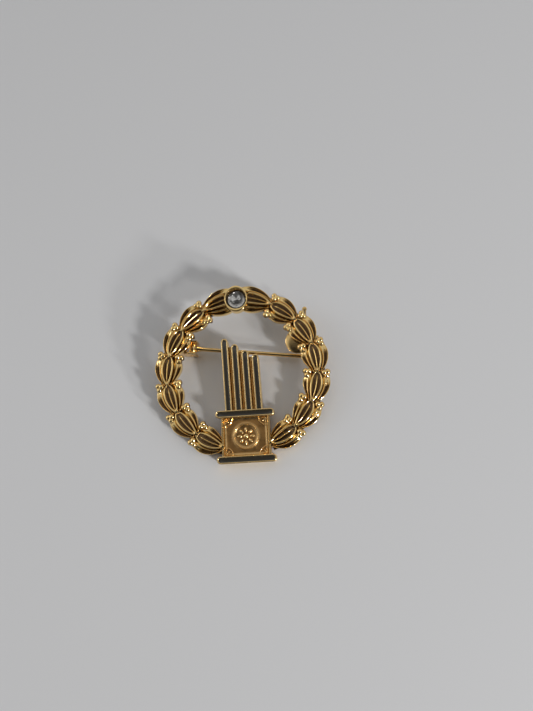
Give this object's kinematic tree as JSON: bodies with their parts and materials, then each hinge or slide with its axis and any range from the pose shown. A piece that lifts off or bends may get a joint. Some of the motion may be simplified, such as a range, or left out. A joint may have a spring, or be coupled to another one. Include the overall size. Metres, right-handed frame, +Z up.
{
  "type": "lapel pin",
  "caption": "Gold-plated lapel pin: open laurel wreath with a round clear stone, enamelled stepped column on a pedestal, hinged pin and turning catch behind.",
  "frame": {"origin": "middle of the box on the table that the pin lies on", "axes": "+Z up from the table and out of the pin's face, +Y towards the stone, +X to the right of the face; the pin is tipped about 9 degrees on its back fittings"},
  "size_m": [0.0296, 0.0302, 0.0069],
  "materials": {
    "gilt_metal": "polished gold plate on the raised edges, satin in the pedestal's sunk field",
    "gilt_fittings": "gold-plated brass, plain and slightly dull",
    "black_enamel": "glossy black enamel, nearly flush",
    "clear_stone": "clear round-cut stone, foil-backed"
  },
  "bodies": {
    "root": {"wreath_left": "gilt_metal", "wreath_right": "gilt_metal", "bezel": "gilt_metal", "stone": "clear_stone", "column": "gilt_metal", "pedestal": "gilt_metal", "shaft_enamel_1": "black_enamel", "shaft_enamel_2": "black_enamel", "shaft_enamel_3": "black_enamel", "shaft_enamel_4": "black_enamel", "capital_enamel": "black_enamel", "plinth_enamel": "black_enamel", "hinge_bracket": "gilt_fittings", "hinge_rivet": "gilt_fittings", "catch_base": "gilt_fittings"},
    "pin": {"pin_stem": "gilt_fittings"},
    "catch": {"catch_rotor": "gilt_fittings"}
  },
  "joints": [
    {"name": "pin_swing", "type": "hinge", "parent": "root", "child": "pin", "pos_m": [-0.0086, 0.0059, 0.00193], "axis": [0.1616, 0.9737, 0.1606], "range_deg": [0, 95]},
    {"name": "catch_turn", "type": "hinge", "parent": "root", "child": "catch", "pos_m": [0.0123, 0.00252, 0.00137], "axis": [-0.9869, 0.1594, 0.0263], "range_deg": [0, 90]}
  ]
}
